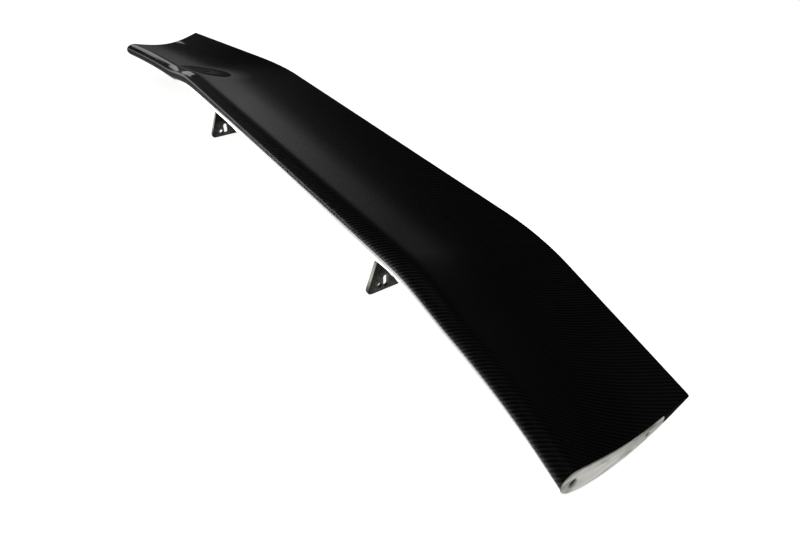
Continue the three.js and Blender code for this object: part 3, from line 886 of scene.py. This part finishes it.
def inset(points, distance):
    """Moves a closed outline inwards."""
    moved = []
    count = len(points)
    area = sum(
        points[i].x * points[(i + 1) % count].y - points[(i + 1) % count].x * points[i].y
        for i in range(count))
    turn = 1 if area > 0 else -1
    for i, p in enumerate(points):
        before = (p - points[i - 1]).normalized()
        after = (points[(i + 1) % count] - p).normalized()
        normal = Vector((-(before.y + after.y), before.x + after.x)).normalized() * turn
        edge = Vector((-before.y, before.x)) * turn
        moved.append(p + normal * (distance / max(normal.dot(edge), 0.4)))
    return moved


def plate_mesh(name, centre):
    """The plate without its holes, with rounded edges."""
    outline = plate_outline()
    rings = []
    round_steps = 3
    half = PLATE / 2
    steps = []
    for i in range(round_steps + 1):
        angle = math.pi / 2 * i / round_steps
        x = -half + PLATE_BREAK * (1 - math.cos(angle))
        steps.append((x, PLATE_BREAK * (1 - math.sin(angle))))
    steps += [(-x, d) for x, d in reversed(steps)]
    for x, depth in steps:
        ring = inset(outline, depth) if depth > 1e-7 else outline
        rings.append([Vector((centre + x, p.x + DATUM_Y, p.y)) for p in ring])
    return loft_mesh(name, rings)


def bored(centre, ring_at):
    """A cutter through the plate, opening out a little at both faces."""
    half = PLATE / 2
    lead = 0.6 * MM
    rings = []
    wide = (half + MM, lead + MM)
    narrow = (half - lead, 0)
    for x, grow in ((-wide[0], wide[1]), (-narrow[0], 0), narrow, wide):
        rings.append([Vector((centre + x, y + DATUM_Y, z)) for y, z in ring_at(grow)])
    return new_object("plate_cutter", loft_mesh("plate_cutter", rings), None)


def pivot_ring(grow):
    y, rise, size = PIVOT
    points = []
    for i in range(48):
        angle = 2 * math.pi * i / 48
        radius = size / 2 + grow
        points.append((y + radius * math.cos(angle), PLATE_BOTTOM + rise + radius * math.sin(angle)))
    return points


def slot_ring(grow):
    y, rise, width, length = SLOT
    radius, reach = width / 2 + grow, (length - width) / 2
    points = []
    for i in range(50):
        angle = 2 * math.pi * (i + 0.5) / 50
        lift = reach if math.sin(angle) > 0 else -reach
        z = PLATE_BOTTOM + rise + lift + radius * math.sin(angle)
        points.append((y + radius * math.cos(angle), z))
    return points


def foot_mesh(name, centre):
    """A slab under the wing that follows its underside, with its lower edges rounded."""

    def spaced(low, high, inner_steps):
        values = [low + FOOT_ROUND * share for share in FOOT_ROUND_STEPS]
        inside = t_range(low + FOOT_ROUND, high - FOOT_ROUND, inner_steps)[1:-1]
        return values + inside + [high - FOOT_ROUND * s for s in reversed(FOOT_ROUND_STEPS)]

    def drop(distance):
        gap = max(FOOT_ROUND - distance, 0)
        return FOOT_ROUND - math.sqrt(FOOT_ROUND**2 - gap**2)

    xs = spaced(-FOOT_WIDTH / 2, FOOT_WIDTH / 2, 10)
    ys = spaced(FOOT_FRONT, FOOT_REAR, 22)
    top, bottom = [], []
    for x in xs:
        for y in ys:
            edge_x = drop(FOOT_WIDTH / 2 - abs(x))
            edge_y = drop(min(y - FOOT_FRONT, FOOT_REAR - y))
            lost = min(edge_x + edge_y, FOOT - FOOT_LEAST)
            place = (centre + x, y + DATUM_Y)
            top.append(Vector((*place, underside(centre + x, y, JOINT))))
            bottom.append(Vector((*place, underside(centre + x, y, JOINT + FOOT - lost))))
    nx, ny = len(xs), len(ys)
    faces = []
    base = nx * ny
    for i in range(nx - 1):
        for j in range(ny - 1):
            a, b = i * ny + j, (i + 1) * ny + j
            faces.append((a, b, b + 1, a + 1))
            faces.append((base + a, base + a + 1, base + b + 1, base + b))
    for i in range(nx - 1):
        for j in (0, ny - 1):
            a, b = i * ny + j, (i + 1) * ny + j
            faces.append((a, b, base + b, base + a))
    for j in range(ny - 1):
        for i in (0, nx - 1):
            a, b = i * ny + j, i * ny + j + 1
            faces.append((a, b, base + b, base + a))
    mesh = bpy.data.meshes.new(name)
    mesh.from_pydata([tuple(v) for v in top + bottom], [], faces)
    face_outward(mesh)
    return mesh


def fillet_mesh(name, centre, side):
    """The hollow corner between the plate and the foot, on one side of the plate."""
    steps = 7
    rings = []
    for k in range(FILLET_STEPS + 1):
        share = k / FILLET_STEPS
        y = mix(PLATE_FRONT_TOP + FILLET_ENDS, PLATE_REAR_TOP - FILLET_ENDS, share)
        # Full size along most of its length, running out at both ends.
        radius = FILLET * math.sqrt(max(1 - abs(2 * share - 1) ** 12, 0.02))
        face = side * PLATE / 2
        ceiling = underside(centre, y, JOINT + FOOT)
        ring = [Vector((face - side * FILLET_INSIDE, ceiling + FILLET_INSIDE))]
        ring.append(Vector((face - side * FILLET_INSIDE, ceiling - radius)))
        for i in range(steps + 1):
            angle = math.pi / 2 * i / steps
            ring.append(Vector((
                face + side * radius * (1 - math.cos(angle)),
                ceiling - radius * (1 - math.sin(angle)))))
        ring.append(Vector((face + side * radius, ceiling + FILLET_INSIDE)))
        rings.append([Vector((centre + p.x, y + DATUM_Y, p.y)) for p in ring])
    return loft_mesh(name, rings)


SCREW = 5 * MM
SCREW_CLEARANCE = 0.3 * MM
HEAD_SIZE = 9.5 * MM
HEAD_HEIGHT = 2.8 * MM
SOCKET = 3 * MM


def screw_place(word, number):
    """Middle and lowest height of a bracket screw, from the CAD."""
    low, high = low_high(f"bracket_screw_{word}_{number}")
    return Vector(((low.x + high.x) / 2, (low.y + high.y) / 2, low.z)), high.z


def screw_cutters(word, pockets):
    cutters = []
    for number in range(1, 5):
        place, top = screw_place(word, number)
        seat = HEAD_HEIGHT + JOINT
        radius = SCREW / 2 + SCREW_CLEARANCE
        pocket = HEAD_SIZE / 2 + SCREW_CLEARANCE
        profile = [(radius, seat), (radius, top - place.z + MM)]
        if pockets:
            profile = [(pocket, -4 * MM), (pocket, seat)] + profile
        else:
            profile = [(radius, seat - FOOT)] + profile[1:]
        mesh = turned("screw_cutter", profile, 48, place)
        cutters.append(new_object("screw_cutter", mesh, None))
    return cutters


def make_bracket(word, side, material):
    centre = side * BRACKET_X
    name = f"mount_bracket_{word}_finished"
    piece = new_object(name, plate_mesh(name, centre), material)
    added = [foot_mesh("foot", centre)]
    added += [fillet_mesh("fillet", centre, s) for s in (1, -1)]
    apply_booleans(piece, [new_object("joined", m, None) for m in added], "UNION")
    cutters = [bored(centre, pivot_ring), bored(centre, slot_ring)] + screw_cutters(word, True)
    apply_booleans(piece, cutters)
    smooth(piece.data, 32)
    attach(piece, "root")
    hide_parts(f"mount_bracket_{word}")


THREAD_DEPTH = 0.42 * MM
THREAD_PITCH = 0.8 * MM
DOME_FLAT = 0.45  # share of the head's radius that is flat
DOME_RISE = 0.82  # share of the head's height that is domed
DOME_ANGLE = 80  # degrees
SCREW_TURNS = {"left": 17, "right": 31}  # degrees, times the screw's number


def screw_mesh(name, length):
    """Button-head screw, head down, with its lowest point at the origin: a domed head,
    a hexagon socket and a threaded shank."""
    radius = HEAD_SIZE / 2
    profile = [(0, 0), (radius * DOME_FLAT, 0)]
    full = math.radians(DOME_ANGLE)
    for i in range(1, 9):
        angle = full * i / 8
        out = math.sin(angle) / math.sin(full)
        rise = (1 - math.cos(angle)) / (1 - math.cos(full))
        profile.append((radius * mix(DOME_FLAT, 1, out), HEAD_HEIGHT * DOME_RISE * rise))
    profile += [(radius, HEAD_HEIGHT - 0.15 * MM), (radius - 0.15 * MM, HEAD_HEIGHT)]
    crest, root, pitch = SCREW / 2, SCREW / 2 - THREAD_DEPTH, THREAD_PITCH
    profile.append((root, HEAD_HEIGHT))
    z = HEAD_HEIGHT + 0.5 * MM
    while z + pitch < length - 0.6 * MM:
        profile += [(root, z), (crest, z + pitch * 0.4)]
        profile += [(crest, z + pitch * 0.55), (root, z + pitch * 0.95)]
        z += pitch
    profile += [(root, length - 0.5 * MM), (root - 0.4 * MM, length), (0, length)]
    mesh = turned(name, profile, 48, Vector((0, 0, 0)))
    piece = new_object(name, mesh, None)
    across = SOCKET / math.sqrt(3)
    rings = []
    lead = ((-MM, across + 1.15 * MM), (0.1 * MM, across + 0.05 * MM))
    for z, size in (*lead, (0.15 * MM, across), (1.6 * MM, across)):
        rings.append([
            Vector((size * math.cos(math.pi * i / 3), size * math.sin(math.pi * i / 3), z))
            for i in range(6)])
    socket = new_object("socket", loft_mesh("socket", rings), None)
    apply_booleans(piece, [socket])
    mesh = piece.data
    bpy.data.objects.remove(piece)
    smooth(mesh, 35)
    return mesh


def make_screws(word, material):
    for number in range(1, 5):
        place, top = screw_place(word, number)
        name = f"bracket_screw_{word}_{number}_finished"
        mesh = screw_mesh(name, top - place.z)
        piece = new_object(name, mesh, material)
        piece.location = place
        piece.rotation_euler.z = math.radians(SCREW_TURNS[word] * number)
        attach(piece, "root")
        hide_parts(f"bracket_screw_{word}_{number}")


# ------------------------------------------------------------ studio

FLOOR_GLOW = 0.9  # the floor's own brightness, except in mirror reflections
# The oval is a painted pool of light on the floor, seen only in mirror reflections.
GLOW_MIDDLE = (0.06, -0.05)  # what the wing mirrors is brightest in this oval,
GLOW_HALF = (0.72, 0.26)
GLOW_FADE = (0.94, 1.06)  # fades between these shares of the oval,
GLOW_FAR = 0.02  # and is this share of it beyond
GLOW_MIRRORED = 5.5  # brightness in the oval, in mirror reflections
MIRRORED_ALBEDO = 0.1
FLOOR_SIZE = 14.0
# Studio brightness by the upward share of a direction, and by its sideways share.
WORLD_BY_HEIGHT = (
    (0.0, 0.2), (0.12, 0.17), (0.2, 0.1), (0.3, 0.04),
    (0.5, 0.014), (0.74, 0.02), (0.88, 0.1), (0.98, 0.42),
)
WORLD_BY_SIDE = (
    (0.0, 0.35), (0.5, 0.3), (0.7, 0.3), (0.8, 0.57),
    (0.88, 1.0), (0.94, 0.7), (0.99, 0.35),
)
WORLD_SEEN = 0.95  # brightness to the camera
CAMERA_AZIMUTH = math.radians(56.34)
CAMERA_ELEVATION = math.radians(36.72)
CAMERA_PLACE = Vector((0.9769, -0.4588, 0.6037))
LENS = 28


def make_camera():
    data = bpy.data.cameras.new("camera")
    data.lens = LENS
    data.sensor_width = 36
    data.clip_start = 0.02
    camera = bpy.data.objects.new("camera", data)
    camera.location = CAMERA_PLACE
    camera.rotation_euler = (math.pi / 2 - CAMERA_ELEVATION, 0, CAMERA_AZIMUTH)
    bpy.context.scene.collection.objects.link(camera)
    bpy.context.scene.camera = camera


def make_floor():
    half = FLOOR_SIZE / 2
    mesh = bpy.data.meshes.new("floor")
    z = CAD_BOX[0].z - 0.2 * MM
    corners = [(-half, -half, z), (half, -half, z), (half, half, z), (-half, half, z)]
    mesh.from_pydata(corners, [], [(0, 1, 2, 3)])
    floor = new_object("floor", mesh, floor_finish())


def add_softbox(name, target, direction, distance, size, power, mirrored=True):
    """A rectangular light that faces a target. Glossy surfaces mirror it, unless it is
    only there to fill the shadows."""
    light = bpy.data.lights.new(name, "AREA")
    light.shape = "RECTANGLE"
    light.size, light.size_y = size
    light.energy = power
    lamp = bpy.data.objects.new(name, light)
    lamp.location = target + Vector(direction).normalized() * distance
    lamp.rotation_euler = (lamp.location - target).to_track_quat("Z", "Y").to_euler()
    lamp.visible_glossy = mirrored
    bpy.context.scene.collection.objects.link(lamp)


def make_world():
    """Soft studio: pale towards the horizon, dark above, bright overhead."""
    world = bpy.data.worlds.new("studio")
    world.use_nodes = True
    bpy.context.scene.world = world
    tree = world.node_tree
    coordinates = tree.nodes.new("ShaderNodeTexCoord")
    split = tree.nodes.new("ShaderNodeSeparateXYZ")
    tree.links.new(coordinates.outputs["Generated"], split.inputs[0])

    def ramp(value, stops):
        node = tree.nodes.new("ShaderNodeValToRGB")
        tree.links.new(value, node.inputs[0])
        elements = node.color_ramp.elements
        elements[0].position = stops[0][0]
        elements[1].position = stops[-1][0]
        for position, _ in stops[1:-1]:
            elements.new(position)
        for element, (_, level) in zip(elements, stops):
            element.color = (level, level, level, 1)
        return node.outputs[0]

    sideways = tree.nodes.new("ShaderNodeMath")
    sideways.operation = "ABSOLUTE"
    tree.links.new(split.outputs[0], sideways.inputs[0])
    height_light = ramp(split.outputs[2], WORLD_BY_HEIGHT)
    side_light = ramp(sideways.outputs[0], WORLD_BY_SIDE)
    seen = tree.nodes.new("ShaderNodeLightPath").outputs["Is Camera Ray"]
    colour = tree.nodes.new("ShaderNodeMix")
    colour.data_type = "RGBA"
    tree.links.new(seen, colour.inputs[0])
    dimmed = tree.nodes.new("ShaderNodeVectorMath")
    dimmed.operation = "SCALE"
    tree.links.new(height_light, dimmed.inputs[0])
    tree.links.new(side_light, dimmed.inputs["Scale"])
    tree.links.new(dimmed.outputs[0], colour.inputs[6])
    colour.inputs[7].default_value = (WORLD_SEEN,) * 3 + (1,)
    tree.links.new(colour.outputs[2], tree.nodes["Background"].inputs["Color"])


# ------------------------------------------------------------ assembly

make_camera()
make_floor()
make_world()
MIDDLE = (CAD_BOX[0] + CAD_BOX[1]) / 2
FAR_TIP = Vector((CAD_BOX[0].x, MIDDLE.y, CAD_BOX[1].z))
add_softbox(
    "overhead_fill", MIDDLE, direction=(0.25, -0.15, 1.0), distance=2.2,
    size=(1.5, 1.5), power=20, mirrored=False)
add_softbox(
    "end_fill", MIDDLE, direction=(0.8, -0.6, 0.2), distance=2.6,
    size=(0.8, 0.8), power=9, mirrored=False)
add_softbox(
    "side_softbox", MIDDLE, direction=(-0.87, -0.5, 0.12), distance=2.4,
    size=(1.6, 0.34), power=1.6)
add_softbox(
    "tip_softbox", FAR_TIP, direction=(-0.93, -0.08, 0.37), distance=1.0,
    size=(0.45, 0.25), power=0.4)
bpy.context.scene.view_settings.view_transform = "Standard"

CARBON = gloss_carbon()
RESIN = resin()
ALUMINIUM = sanded_aluminium()
ANODISED = black_anodised()
STEEL = black_steel()

make_skin("upper_skin_finished", "upper_skin", True, [], CARBON)
lower_cutters = screw_cutters("left", False) + screw_cutters("right", False)
make_skin("lower_skin_finished", "lower_skin", False, lower_cutters, CARBON)
make_seam_resin(RESIN)
for side_name, side_sign in SIDES:
    make_end_rib(side_name, side_sign, ALUMINIUM)
    make_tail_closeout(side_name, side_sign, RESIN)
    make_bracket(side_name, side_sign, ANODISED)
    make_screws(side_name, STEEL)

WEB = bare_carbon("bare_carbon_web", (0, 2))
RIB = bare_carbon("bare_carbon_rib", (1, 2))
KEPT = {
    "leading_edge_lap_strip": WEB,
    "front_spar": WEB,
    "rear_spar": WEB,
    "centre_rib": RIB,
    "kink_rib_left": RIB,
    "kink_rib_right": RIB,
    "trailing_edge_filler": adhesive(),
    "bracket_block_left": machined_block(),
}
KEPT["bracket_block_right"] = KEPT["bracket_block_left"]
for node_name, look in KEPT.items():
    for material_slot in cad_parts[node_name].material_slots:
        material_slot.material = look
